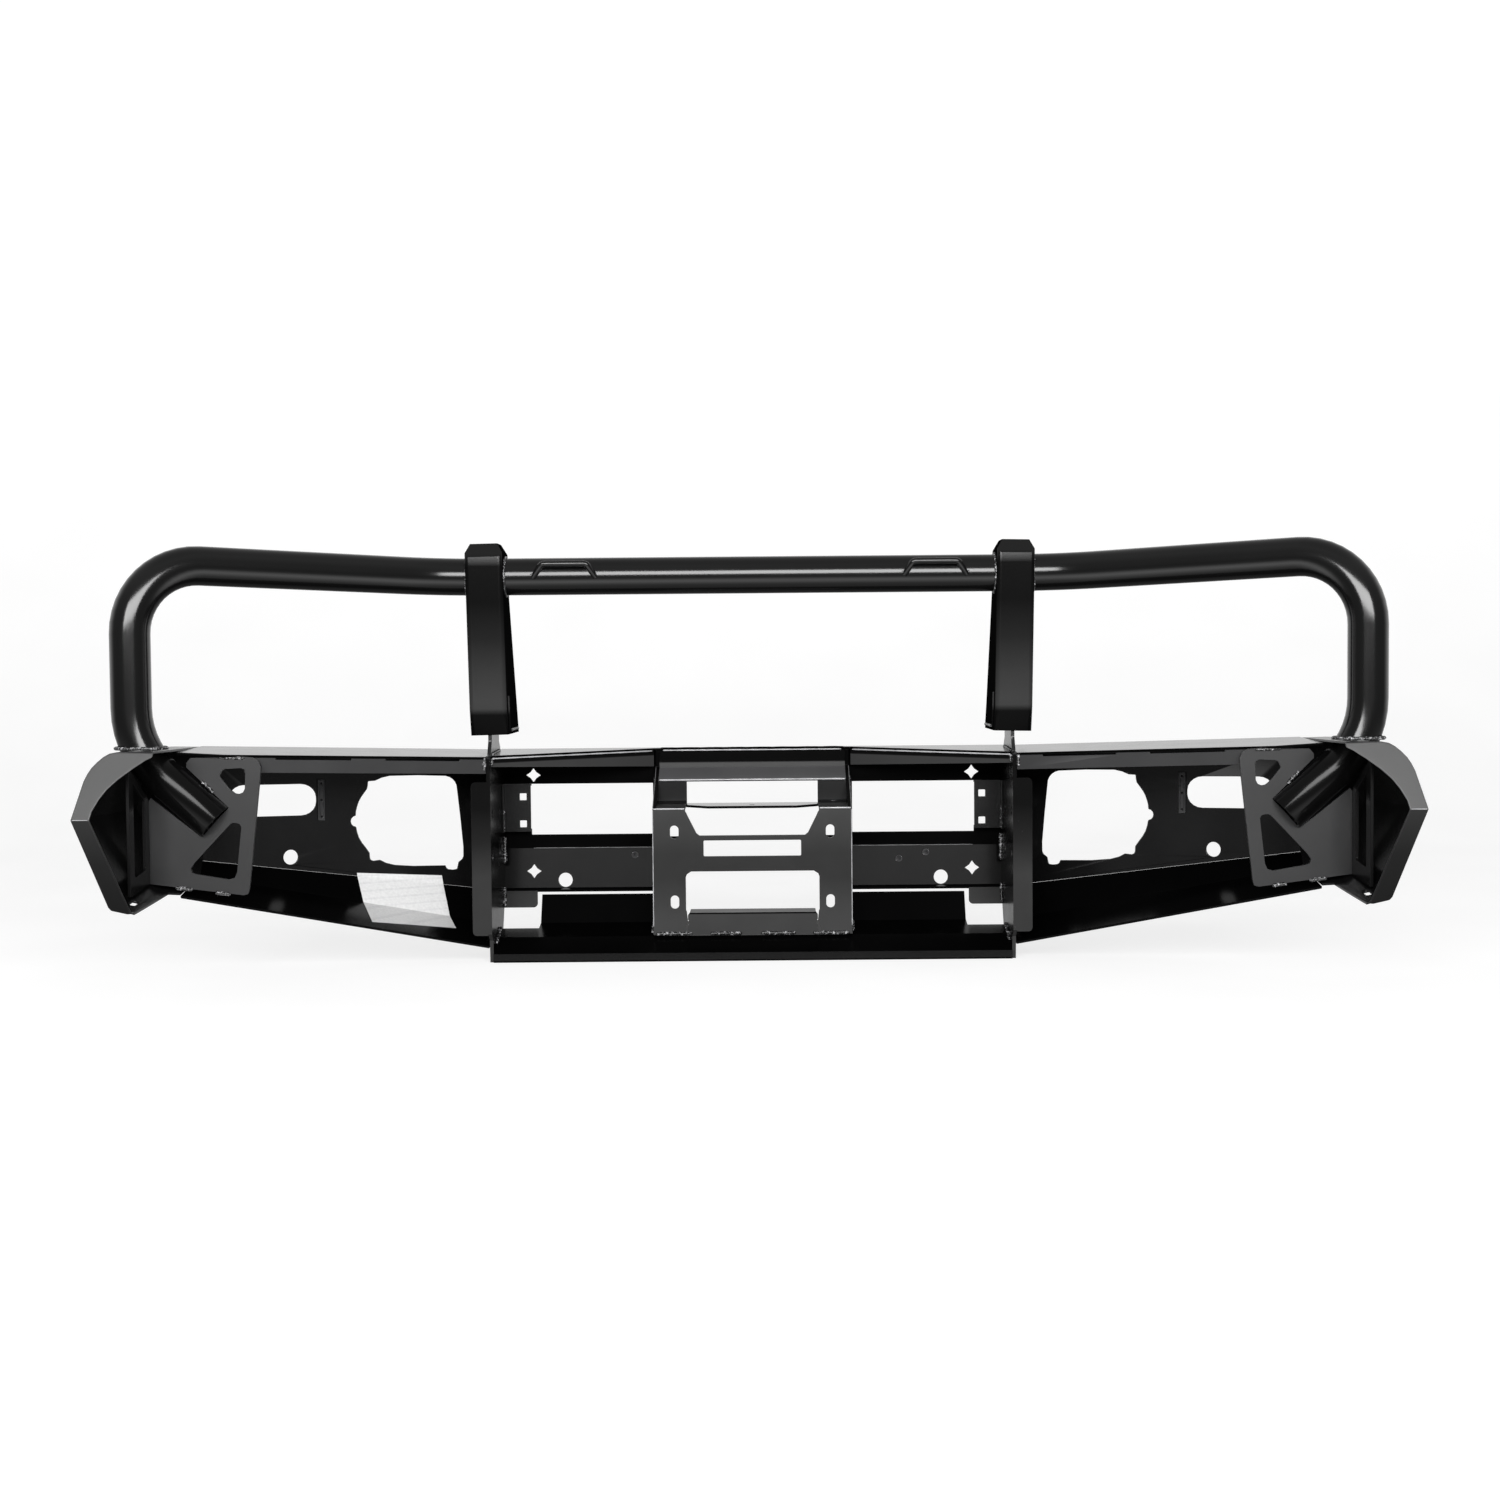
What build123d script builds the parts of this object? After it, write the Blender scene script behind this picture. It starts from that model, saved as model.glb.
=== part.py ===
# Steel front grille guard (winch bumper with hoop) for a four-wheel-drive vehicle.
# Millimetres.  X lateral (+X is the vehicle's left), Y fore and aft (+Y towards the
# vehicle), Z up.  Drawn with Y = 0 on the axis of the hoop's straight middle length, then
# shifted so that the origin is the centre of the underside of the overall box.
# Paired pieces are drawn on the +X side and mirrored.
from build123d import *
import os
from math import cos, radians, sin, sqrt, tan

os.makedirs("parts", exist_ok=True)

# ---------------------------------------------------------------- driving dimensions
SHEET = 4.0               # folded skin sheets
PLATE = 6.0               # ribs, gussets, winch cradle

TUBE_RADIUS = 60.3 / 2    # hoop tube, outside
TUBE_WALL = 3.2
TUBE_GAP = 0.25           # paint gap where the tube passes through a plate
TUBE_Z = 624.0            # axis of the straight middle length
# axis corners from one end to the middle, and the bend radius at all but the first
TUBE_CORNERS = [(806.5, 275.0, 248.0), (930.0, 275.0, 358.0), (930.0, 275.0, 639.0),
                (496.0, 0.0, TUBE_Z)]
TUBE_BENDS = [140.0, 104.0, 260.0]

WEB_Y = -110.0            # rear face of the upright middle web
WEB_FRONT_Y = WEB_Y - SHEET
TOP_Z = 338.0             # upper face of the body top sheet at the web
RIB_X = 425.0             # outer face of each chassis rib
RIB_INNER_X = RIB_X - PLATE
RIB_REAR_Y = 75.0

UPRIGHT_X0, UPRIGHT_X1 = 398.5, 459.5
UPRIGHT_MID_X = (UPRIGHT_X0 + UPRIGHT_X1) / 2
UPRIGHT_Y = 40.0          # rear face of the uprights
UPRIGHT_TOP_Z = 677.0
UPRIGHT_LEAN = 1.1        # degrees, feet towards the middle
LEAN_AXIS = Axis((UPRIGHT_MID_X, 0, 600.0), (0, 1, 0))

WINCH_X = 162.3           # outer face of each winch side plate
WINCH_INNER_X = WINCH_X - PLATE
WINCH_BAY_X = WINCH_X - 15   # half width of the openings in web and tray
WINCH_Y = 24.0            # rear face of the winch mounting plate
WINCH_FRONT_Y = WINCH_Y - PLATE
SHELF_Z = 244.0           # underside of the winch shelf

WING_DEG = 30.0           # sweep of the wing panels
WING_SLOPE = tan(radians(WING_DEG))
WING_SHEET_Y = SHEET / cos(radians(WING_DEG))   # swept sheet thickness measured along Y
WING_END_X = 862.0        # wing panels end here, the pressed tip carries on
GUSSET_Y = 272.0          # front face of the tube gusset plates
GUSSET_OUTER_X = 906.0
ROUND_HOLE_RADIUS = 11.9  # round holes in the web and the wing front panels


# ---------------------------------------------------------------- helpers
def closed_wire(points):
    return Wire.make_polygon([Vector(p) for p in points], close=True)


def prism(points, vector):
    solid = Solid.extrude(Face(closed_wire(points)), Vector(vector))
    if solid.volume > 0:
        return solid
    return Solid.extrude(Face(closed_wire(points[::-1])), Vector(vector))


def plate_x(yz_points, x0, x1):
    return prism([(x0, y, z) for y, z in yz_points], (x1 - x0, 0, 0))


def plate_y(xz_points, y0, y1):
    return prism([(x, y0, z) for x, z in xz_points], (0, y1 - y0, 0))


def plate_z(xy_points, z0, z1):
    return prism([(x, y, z0) for x, y in xy_points], (0, 0, z1 - z0))


def box(x0, x1, y0, y1, z0, z1):
    return plate_z([(x0, y0), (x1, y0), (x1, y1), (x0, y1)], z0, z1)


def swept_plate(line_y, xz_points, offset, depth):
    """Plate following the plan line y = line_y(x), moved by offset, depth thick along Y."""
    return prism([(x, line_y(x) + offset, z) for x, z in xz_points], (0, depth, 0))


def rounded_rect(x0, x1, z0, z1, radius):
    """Rectangle outline with five chords to each corner."""
    corners = [(x1 - radius, z0 + radius, -90), (x1 - radius, z1 - radius, 0),
               (x0 + radius, z1 - radius, 90), (x0 + radius, z0 + radius, 180)]
    points = []
    for x, z, start in corners:
        for i in range(6):
            angle = radians(start + 90.0 * i / 5)
            points.append((x + radius * cos(angle), z + radius * sin(angle)))
    return points


def cylinder(start, end, radius):
    axis = Vector(end) - Vector(start)
    plane = Plane(origin=Vector(start), z_dir=axis.normalized())
    return Solid.make_cylinder(radius, axis.length, plane)


def cylinder_y(x, z, y0, y1, radius):
    return cylinder((x, y0, z), (x, y1, z), radius)


def cut(shape, *tools):
    for tool in tools:
        shape = shape - tool
    return shape


def fuse(first, *others):
    for other in others:
        first = first + other
    return first


def biggest(shape):
    return max(shape.solids(), key=lambda solid: solid.volume)


def offset_in(points, distance):
    """Move every side of a closed outline inwards, whichever way round it runs."""
    count = len(points)
    area = sum(points[i][0] * points[(i + 1) % count][1] - points[(i + 1) % count][0] * points[i][1]
               for i in range(count))
    sign = 1.0 if area > 0 else -1.0

    def inward_normal(p, q):
        dx, dy = q[0] - p[0], q[1] - p[1]
        length = sqrt(dx ** 2 + dy ** 2)
        return -dy / length * sign, dx / length * sign

    moved = []
    for i in range(count):
        here = points[i]
        ax, ay = inward_normal(points[i - 1], here)
        bx, by = inward_normal(here, points[(i + 1) % count])
        scale_down = 1.0 + ax * bx + ay * by
        moved.append((here[0] + distance * (ax + bx) / scale_down,
                      here[1] + distance * (ay + by) / scale_down))
    return moved


def bent_path(points, radii):
    """Straight lengths joined by tangent arcs, one radius for each inner point."""
    edges = []
    current = Vector(points[0])
    for before, corner, after, radius in zip(points, points[1:], points[2:], radii):
        corner = Vector(corner)
        back = (Vector(before) - corner).normalized()
        ahead = (Vector(after) - corner).normalized()
        half = radians(back.get_angle(ahead)) / 2.0
        tangent = radius / tan(half)
        arc_start, arc_end = corner + back * tangent, corner + ahead * tangent
        bisector = (back + ahead).normalized()
        centre = corner + bisector * (radius / sin(half))
        edges.append(Edge.make_line(current, arc_start))
        edges.append(Edge.make_three_point_arc(arc_start, centre - bisector * radius, arc_end))
        current = arc_end
    edges.append(Edge.make_line(current, Vector(points[-1])))
    return edges


def round_bar(edges, radius):
    plane = Plane(origin=edges[0] @ 0, z_dir=edges[0] % 0)
    return sweep(plane * Circle(radius), path=Wire(edges))


parts = {}


def add_part(name, shape):
    parts[name] = shape


def add_pair(name, shape):
    parts[name + "_left"] = shape
    parts[name + "_right"] = shape.mirror(Plane.YZ)


def centre_top(y):
    """Upper face of the middle top sheet, falling slightly rearwards."""
    return TOP_Z + 0.3 - 0.0245 * (y + 95.0)


# ---------------------------------------------------------------- hoop tube
def hoop_path():
    other_half = [(-x, y, z) for x, y, z in TUBE_CORNERS[::-1]]
    return bent_path(TUBE_CORNERS + other_half, TUBE_BENDS + TUBE_BENDS[::-1])


def tie_loop():
    """Bent round bar on the rear of the tube."""
    points = [(351, 26.5, TUBE_Z - 3), (337, 34, TUBE_Z + 19),
              (264, 34, TUBE_Z + 19), (250, 26.5, TUBE_Z - 3)]
    middle_line = Edge.make_line(Vector(-400, 0, TUBE_Z), Vector(400, 0, TUBE_Z))
    return round_bar(bent_path(points, [9.0, 9.0]), 5.0) - round_bar([middle_line], TUBE_RADIUS)


hoop_edges = hoop_path()
add_part("hoop_tube",
         round_bar(hoop_edges, TUBE_RADIUS) - round_bar(hoop_edges, TUBE_RADIUS - TUBE_WALL))
tube_clearance = round_bar(hoop_edges, TUBE_RADIUS + TUBE_GAP)
add_pair("tie_loop", biggest(tie_loop()))


# ---------------------------------------------------------------- uprights
def inside_upright(yz_points):
    return plate_x(yz_points, UPRIGHT_X0 + SHEET, UPRIGHT_X1 - SHEET)


def upright_channel():
    """Hollow channel closed round the hoop tube, open at the foot and at the lower front."""
    side = [(UPRIGHT_Y - 9, 367), (UPRIGHT_Y, 406), (UPRIGHT_Y, 655), (27, UPRIGHT_TOP_Z),
            (-24, UPRIGHT_TOP_Z), (-38, 655), (-38, 590), (-112, 367)]
    outer = plate_x(side, UPRIGHT_X0, UPRIGHT_X1)
    rear_edges = [e for e in outer.edges()
                  if abs(e.center().Y - UPRIGHT_Y) < 12 and e.length > 30
                  and abs((e @ 0).X - (e @ 1).X) < 0.1 and e.center().Z < 660]
    # guards the rounding of the rear edges: they stay sharp if the fillet fails
    try:
        outer = outer.fillet(7.0, rear_edges)
    except Exception:
        pass
    # sloping shoulders of the cap
    over = UPRIGHT_TOP_Z + 1
    for x, inward in ((UPRIGHT_X0, 1), (UPRIGHT_X1, -1)):
        outer = outer - prism([(x - inward, -60, over), (x + inward * 9.0, -60, over),
                               (x - inward, -60, UPRIGHT_TOP_Z - 18.0)], (0, 130, 0))
    # the hollow runs out below the foot
    hollow = offset_in(side, SHEET)
    hollow[0] = (hollow[0][0] - 1.0, 360.0)
    hollow[-1] = (hollow[-1][0] - 2.6, 360.0)
    window = [(-200, 350), (-200, 575), (-33, 575), (-36.8, 560), (-104.3, 350)]
    shell = cut(outer, inside_upright(hollow), inside_upright(window))
    return cut(shell.rotate(LEAN_AXIS, UPRIGHT_LEAN), tube_clearance)


def upright_front_plate(channel):
    plate = inside_upright([(-40.2, 572), (-36.2, 572), (-103.0, 370), (-107.2, 370)])
    for z in (430, 500):
        plate = plate - cylinder_y(UPRIGHT_MID_X, z, -200, 100, 9)
    return plate.rotate(LEAN_AXIS, UPRIGHT_LEAN) - channel


def upright_tab(channel):
    outer_x = 427.5
    side = [(-84, centre_top(-84)), (-64, 354), (-64, 470), (-45, 515), (30, 515), (36, 507),
            (36, 412), (27, 372), (27, 357), (42, centre_top(42))]
    return plate_x(side, outer_x - PLATE, outer_x) - channel


def upright_foot_doubler():
    side = [(-86, 372), (22, 372), (26, 430), (-62, 430)]
    return plate_x(side, UPRIGHT_X0 - 3, UPRIGHT_X0).rotate(LEAN_AXIS, UPRIGHT_LEAN)


channel = biggest(upright_channel())
add_pair("upright_channel", channel)
add_pair("upright_front_plate", biggest(upright_front_plate(channel)))
add_pair("upright_tab", upright_tab(channel))
add_pair("upright_foot_doubler", upright_foot_doubler())

# ---------------------------------------------------------------- middle body
INSERTS = [(-246.8, 148.0), (-292.6, 158.1), (199.8, 157.5)]   # x, z
LIP_START = (WINCH_X + 3, -95.0)       # inner end of the rear lip, x and y
LIP_END = (RIB_INNER_X, 60.0)


def four_point_star(x, z):
    points = []
    for i in range(4):
        tip, valley = radians(90 * i), radians(90 * i + 45)
        points.append((x + 12.2 * cos(tip), z + 11.8 * sin(tip)))
        points.append((x + 7.0 * cos(valley), z + 7.0 * sin(valley)))
    return points


def centre_front_web():
    """Upright front sheet, folded rearwards along its foot."""
    side = [(WEB_Y, centre_top(WEB_Y) - SHEET), (WEB_Y, 170), (WEB_Y + 12, 104),
            (WEB_Y + 26, 102.3), (WEB_Y + 26, 98.3), (WEB_Y + 8.5, 100), (WEB_FRONT_Y, 169.6),
            (WEB_FRONT_Y, centre_top(WEB_FRONT_Y) - SHEET)]
    web = plate_x(side, -RIB_INNER_X, RIB_INNER_X)
    for sign in (1, -1):
        # side opening; the grille bracket closes its narrower outer part
        for inner_x, outer_x, z0, z1 in ((WINCH_X + 6, 374, 193, 279), (370, 404, 203, 276)):
            x0, x1 = sorted((sign * inner_x, sign * outer_x))
            web = web - box(x0, x1, -140, -90, z0, z1)
        for z in (293.7, 131.5):
            web = web - plate_y(four_point_star(sign * 370.2, z), -140, -80)
        web = web - cylinder_y(sign * 317.1, 116.6, -140, -80, ROUND_HOLE_RADIUS)
    # the web is open between the cradle side plates
    web = web - box(-WINCH_BAY_X, WINCH_BAY_X, -140, -60, 188, 292)
    web = web - box(-118, 118, -140, -60, 60, 190)
    for x, z in INSERTS:
        web = web - cylinder_y(x, z, -140, -80, 5.6)
    return web


def threaded_insert(x, z):
    """Plain sleeve with a blind bore open to the rear, set in the sloping part of the web."""
    web_y = WEB_Y + (169 - z) * 12 / 68.0
    return (cylinder_y(x, z, web_y - 9, web_y + 1.6, 5.4)
            - cylinder_y(x, z, web_y - 7, web_y + 10, 3.2))


def centre_top_panel():
    lip_x, lip_y = LIP_START
    half = [(RIB_X, WEB_FRONT_Y), (RIB_X, 78), LIP_END, LIP_START, (lip_x - 5, lip_y - 0.5)]
    outline = half + [(-x, y) for x, y in half[::-1]]
    return prism([(x, y, centre_top(y) - SHEET) for x, y in outline], (0, 0, SHEET))


def centre_rear_lip(top_panel):
    """Slanting lip folded down under the rear edge of the middle top sheet."""
    (x0, y0), (x1, y1) = LIP_START, LIP_END
    length = sqrt((x1 - x0) ** 2 + (y1 - y0) ** 2)
    thickness = ((y1 - y0) / length * SHEET, -(x1 - x0) / length * SHEET, 0)
    lip = prism([(x0, y0, 307.5), (x1, y1, 316.5),
                 (x1, y1, centre_top(y1) - 1), (x0, y0, centre_top(y0) - 1)], thickness)
    return cut(lip & box(WINCH_X, RIB_INNER_X, -300, 300, 0, 500), top_panel)


def lower_tray():
    """Sloping toe board, floor and hemmed rear edge."""
    side = [(-86, 94), (-60, 49), (20, 36), (62, 14), (66, 3), (62, 0), (59, 3), (59, 9.8),
            (18.5, 31.9), (-62.5, 45.0), (-89.5, 92.0)]
    tray = plate_x(side, -RIB_INNER_X, RIB_INNER_X)
    for sign in (1, -1):
        x0, x1 = sorted((sign * 355.3, sign * 440))
        tray = tray - plate_y(rounded_rect(x0, x1, 34.7, 130, 7), -120, -30)
    return tray - box(-WINCH_BAY_X, WINCH_BAY_X, -130, -60.5, 49.5, 120)


def corner_tab():
    outline = rounded_rect(362.5, RIB_INNER_X + 10, 72.6, 120, 7)
    return (plate_y(outline, WEB_Y + 26, WEB_Y + 30)
            & box(350, RIB_INNER_X, -200, 200, 60, 100.5))


def chassis_rib():
    """Rib with a folded rear flange and four chassis bolt holes."""
    bolt_radius = 7.0
    mid_y, mid_z = 8.0, 205.0            # centre of the bolt pattern
    pitch_y, pitch_z = 90.0, 70.0
    side = [(WEB_FRONT_Y, centre_top(WEB_FRONT_Y) - SHEET), (WEB_FRONT_Y, 100), (-92, 88),
            (-66, 38), (20, 0), (57, 0), (60, 36), (RIB_REAR_Y, 48),
            (RIB_REAR_Y, centre_top(RIB_REAR_Y) - SHEET)]
    rib = plate_x(side, RIB_INNER_X, RIB_X)
    flange = plate_y(rounded_rect(RIB_X - 12, RIB_X + 25, 45.5, 293, 7),
                     RIB_REAR_Y - PLATE, RIB_REAR_Y)
    rib = rib + (flange & box(RIB_X, 600, 0, 200, 0, 400))
    for y in (mid_y - pitch_y / 2, mid_y + pitch_y / 2):
        for z in (mid_z - pitch_z / 2, mid_z + pitch_z / 2):
            rib = rib - cylinder((400, y, z), (440, y, z), bolt_radius)
    return rib


def grille_bracket():
    """Angle bracket with two square holes."""
    inner_x, front_y, z0, z1 = 372.8, -92, 199.5, 281
    sheet = 3
    rear_y = front_y + sheet
    hole_x, half_hole = 385.7, 5.7
    bracket = plate_y([(inner_x, z0), (RIB_INNER_X, z0), (RIB_INNER_X, z1), (inner_x, z1)],
                      front_y, rear_y)
    for z in (258.7, 213.1):
        bracket = bracket - box(hole_x - half_hole, hole_x + half_hole, -110, -80,
                                z - half_hole, z + half_hole)
    return bracket + box(RIB_INNER_X - sheet, RIB_INNER_X, rear_y, -70, z0, z1)


web = centre_front_web()
centre_panel = centre_top_panel()
tray = lower_tray()
rib = biggest(chassis_rib())
add_part("centre_front_web", biggest(web))
add_part("threaded_inserts", [threaded_insert(x, z) for x, z in INSERTS])
add_part("centre_top_panel", centre_panel)
add_pair("centre_rear_lip", biggest(centre_rear_lip(centre_panel)))
add_part("lower_tray", biggest(tray))
add_pair("corner_tab", biggest(corner_tab()))
add_pair("chassis_rib", rib)
add_pair("grille_bracket", grille_bracket())


# ---------------------------------------------------------------- winch cradle
def winch_side_plate():
    side = [(WEB_Y, centre_top(WEB_Y) - 1), (-97, centre_top(-97) - 1), (-97, 307), (-60, 284),
            (WINCH_FRONT_Y, SHELF_Z), (WINCH_FRONT_Y, 30), (-60, 42), (WEB_Y, 60)]
    return cut(plate_x(side, WINCH_INNER_X, WINCH_X), web, tray, centre_panel)


def winch_mount_plate():
    """Upright plate with slots for a foot-mounted winch."""
    pattern_x, pattern_z = 254.0, 114.3
    lower_slot_z = 91.5
    slot_width, slot_length = 14.0, 22.0
    outline = [(-WINCH_X, SHELF_Z), (-109, SHELF_Z), (-109, 240), (-91, 204), (-86, 200),
               (86, 200), (91, 204), (109, 240), (109, SHELF_Z), (WINCH_X, SHELF_Z),
               (WINCH_X, 38), (110, 38), (110, 50), (106, 58), (108, 77), (-108, 77),
               (-106, 58), (-110, 50), (-110, 38), (-WINCH_X, 38)]
    lower_window = [(-109, 77), (109, 77), (109, 132), (107, 137), (100, 141.5),
                    (-100, 141.5), (-107, 137), (-109, 132)]
    plate = plate_y(outline, WINCH_FRONT_Y, WINCH_Y)
    plate = plate - plate_y(rounded_rect(-79.5, 79.5, 166, 192, 2), 0, 60)
    plate = plate - plate_y(lower_window, 0, 60)
    radius = slot_width / 2
    half_run = (slot_length - slot_width) / 2
    for sign in (1, -1):
        x = sign * pattern_x / 2
        for z in (lower_slot_z, lower_slot_z + pattern_z):
            plate = cut(plate, cylinder_y(x, z - half_run, 0, 60, radius),
                        cylinder_y(x, z + half_run, 0, 60, radius),
                        box(x - radius, x + radius, 0, 60, z - half_run, z + half_run))
    return plate


def winch_lower_plate():
    """Upright plate with a ledge running forwards from its top."""
    outline = [(-103, 74), (103, 74), (106, 70), (106, 38), (-106, 38), (-106, 70)]
    ledge_y = WINCH_FRONT_Y - 46
    ledge = [(ledge_y, 70), (WINCH_FRONT_Y, 70), (WINCH_FRONT_Y, 74), (ledge_y, 74)]
    plate = plate_y(outline, WINCH_FRONT_Y, WINCH_Y) + plate_x(ledge, -103, 103)
    for sign in (1, -1):
        plate = plate - cylinder_y(sign * 110, 58, 0, 60, 6.0)
    return plate


def winch_shelf():
    outline = [(-109, -58), (109, -58), (109, -12), (72, WINCH_Y), (-72, WINCH_Y), (-109, -12)]
    return plate_z(outline, SHELF_Z, SHELF_Z + SHEET) - box(-3, 3, -6, 2, 230, 250)


def winch_top_rail():
    side = [(-97.5, 301.5), (-95.5, 305.3), (-56.0, 288.4), (-55.0, 286.6), (-57.6, 283.6)]
    return plate_x(side, -WINCH_INNER_X, WINCH_INNER_X)


def winch_ear(side_plate, rail):
    """Angle beside the shelf: a flat, an upright front leg and a small fillet of weld shape."""
    bend = [(-58, 248), (-54.5, 248), (-55.6, 249.2), (-56.8, 250.6), (-58, 252)]
    ear = fuse(box(109, WINCH_INNER_X, -60, WINCH_FRONT_Y, 243, 248),
               box(109, WINCH_INNER_X, -63, -58, 243, 283.8),
               plate_x(bend, 109, WINCH_INNER_X))
    return cut(ear, side_plate, rail)


def winch_top_lip(rail):
    outline = [(-WINCH_INNER_X, 301.5), (WINCH_INNER_X, 301.5),
               (WINCH_INNER_X, TOP_Z), (-WINCH_INNER_X, TOP_Z)]
    return cut(plate_y(outline, -101.5, -97.5), rail, centre_panel)


side_plate = biggest(winch_side_plate())
rail = winch_top_rail()
add_pair("winch_side_plate", side_plate)
add_part("winch_mount_plate", winch_mount_plate())
add_part("winch_lower_plate", biggest(winch_lower_plate()))
add_part("winch_shelf", winch_shelf())
add_part("winch_top_rail", biggest(rail))
add_pair("winch_ear", biggest(winch_ear(side_plate, rail)))
add_part("winch_top_lip", biggest(winch_top_lip(rail)))


# ---------------------------------------------------------------- wings
def wing_y(x):
    """Rear face of the wing front panel."""
    return WEB_Y + WING_SLOPE * (x - 417.0)


def wing_top(x, y):
    """Upper face of the wing top sheet, rising outwards."""
    return TOP_Z + 0.045 * (x - 423.0) - 0.025 * (y - wing_y(x))


def lip_y(x):
    """Rear face of the wing rear lip."""
    return RIB_REAR_Y + WING_SLOPE * (x - 422.0)


def lip_top(x):
    return wing_top(x, lip_y(x)) - SHEET


def sheet_down(a, b, c):
    """Normal to the plane of three points, one sheet thickness long, pointing down."""
    normal = (Vector(b) - Vector(a)).cross(Vector(c) - Vector(a)).normalized() * SHEET
    return normal * -1 if normal.Z > 0 else normal


# corners of the lower panel (crease to floor) and of the floor (floor to rear)
DROP_Y, DROP_Z = 40.0, -53.0     # lower panel, crease to floor at its inner end
OUTER_DROP = 0.42                # share of that drop at the outer end
TIP_DROP_Y = OUTER_DROP * DROP_Y
CREASE_IN = (RIB_X, wing_y(RIB_X), 99.5)
CREASE_OUT = (WING_END_X, wing_y(WING_END_X), 177.5)
FLOOR_IN = (RIB_X, CREASE_IN[1] + DROP_Y, CREASE_IN[2] + DROP_Z)
FLOOR_OUT = (WING_END_X, CREASE_OUT[1] + TIP_DROP_Y, CREASE_OUT[2] + OUTER_DROP * DROP_Z)
REAR_IN = (RIB_X, 57.0, 26.5)
rear_out_y = REAR_IN[1] + 0.5 * (WING_END_X - RIB_X)
floor_normal = sheet_down(FLOOR_IN, FLOOR_OUT, REAR_IN)
REAR_OUT = (WING_END_X, rear_out_y,
            FLOOR_IN[2] - (floor_normal.X * (WING_END_X - FLOOR_IN[0])
                           + floor_normal.Y * (rear_out_y - FLOOR_IN[1])) / floor_normal.Z)

# opening for the lamp in the wing front panel: x, z
LAMP_OPENING = [
    (627.2, 292.5), (616.9, 292.9), (607.1, 297.4), (595.0, 300.1), (553.0, 299.4),
    (510.9, 296.7), (505.0, 294.6), (500.3, 291.2), (496.6, 286.4), (494.3, 280.9),
    (492.9, 267.5), (488.9, 225.4), (485.0, 176.5), (485.2, 161.4), (487.5, 156.2),
    (493.0, 151.8), (494.2, 145.0), (495.5, 140.2), (501.6, 139.4), (509.0, 140.6),
    (511.5, 143.0), (513.0, 147.4), (561.4, 149.6), (589.7, 153.1), (602.7, 157.4),
    (611.5, 162.9), (621.8, 161.9), (625.2, 164.0), (626.2, 167.1), (626.6, 175.3),
    (631.8, 183.9), (637.4, 192.3), (641.7, 200.8), (644.3, 210.0), (645.8, 219.0),
    (650.2, 220.9), (652.6, 224.2), (653.4, 228.4), (652.6, 232.4), (649.9, 235.6),
    (646.1, 237.0), (645.6, 244.6), (643.9, 251.6), (641.4, 259.6), (637.8, 266.8),
    (628.8, 280.3), (627.6, 286.0)]


def wing_front_panel():
    outline = [(CREASE_IN[0], CREASE_IN[2]), (CREASE_OUT[0], CREASE_OUT[2])]
    for x in (WING_END_X, RIB_X):
        outline.append((x, wing_top(x, wing_y(x)) - SHEET - 0.3))
    indicator = [(x, z + 0.02 * (x - 760)) for x, z in rounded_rect(703, 826, 242.5, 293, 22)]
    panel = swept_plate(wing_y, outline, 0, -WING_SHEET_Y)
    for opening in (LAMP_OPENING, indicator):
        panel = panel - swept_plate(wing_y, opening, -20, 40)
    # round hole square to the panel
    x, z = 739.8, 175.4
    dx, dy = 20 * sin(radians(WING_DEG)), -20 * cos(radians(WING_DEG))
    return panel - cylinder((x - dx, wing_y(x) - dy, z), (x + dx, wing_y(x) + dy, z),
                            ROUND_HOLE_RADIUS)


def wing_top_panel():
    outline = [(RIB_X, wing_y(RIB_X) - WING_SHEET_Y),
               (WING_END_X, wing_y(WING_END_X) - WING_SHEET_Y),
               (WING_END_X, 286), (790, 286), (779, 281), (RIB_X, RIB_REAR_Y + 1.7)]
    return prism([(x, y, wing_top(x, y) - SHEET) for x, y in outline], (0, 0, SHEET))


def wing_rear_lip(top_panel):
    """Lip under the wing top, with two shallow vents along its upper edge."""
    x0, x1 = RIB_X + 0.5, 763.0
    outline = [(x0, lip_top(RIB_X) - 23), (x1, lip_top(x1) - 23),
               (x1, lip_top(x1) - 0.1), (x0, lip_top(x0) - 0.1)]
    lip = swept_plate(lip_y, outline, 0, -WING_SHEET_Y)
    for x0, x1 in ((464.0, 570.0), (618.0, 721.0)):
        z0, z1 = lip_top(x0), lip_top(x1)
        vent = [(x0, z0 - 2.8), (x1, z1 - 2.8), (x1, z1 + 9), (x0, z0 + 9)]
        lip = lip - swept_plate(lip_y, vent, -20, 60)
    return cut(lip, rib, top_panel)


def wing_under_sheet(corners, neighbour):
    """Flat sheet below four corners, trimmed to the wing's width and to its neighbour."""
    sheet = Solid.extrude(Face(closed_wire(corners)),
                          sheet_down(corners[0], corners[1], corners[3]))
    return cut(sheet & box(RIB_X, WING_END_X, -400, 600, 0, 500), neighbour)


front_panel = wing_front_panel()
top_panel = wing_top_panel()
rear_lip = wing_rear_lip(top_panel)
lower_panel = wing_under_sheet([CREASE_IN, CREASE_OUT, FLOOR_OUT, FLOOR_IN], front_panel)
floor_panel = wing_under_sheet([FLOOR_IN, FLOOR_OUT, REAR_OUT, REAR_IN], lower_panel)
add_pair("wing_front_panel", biggest(front_panel))
add_pair("wing_top_panel", top_panel)
add_pair("wing_rear_lip", biggest(rear_lip))
add_pair("wing_lower_panel", biggest(lower_panel))
add_pair("wing_floor_panel", biggest(floor_panel))

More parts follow.
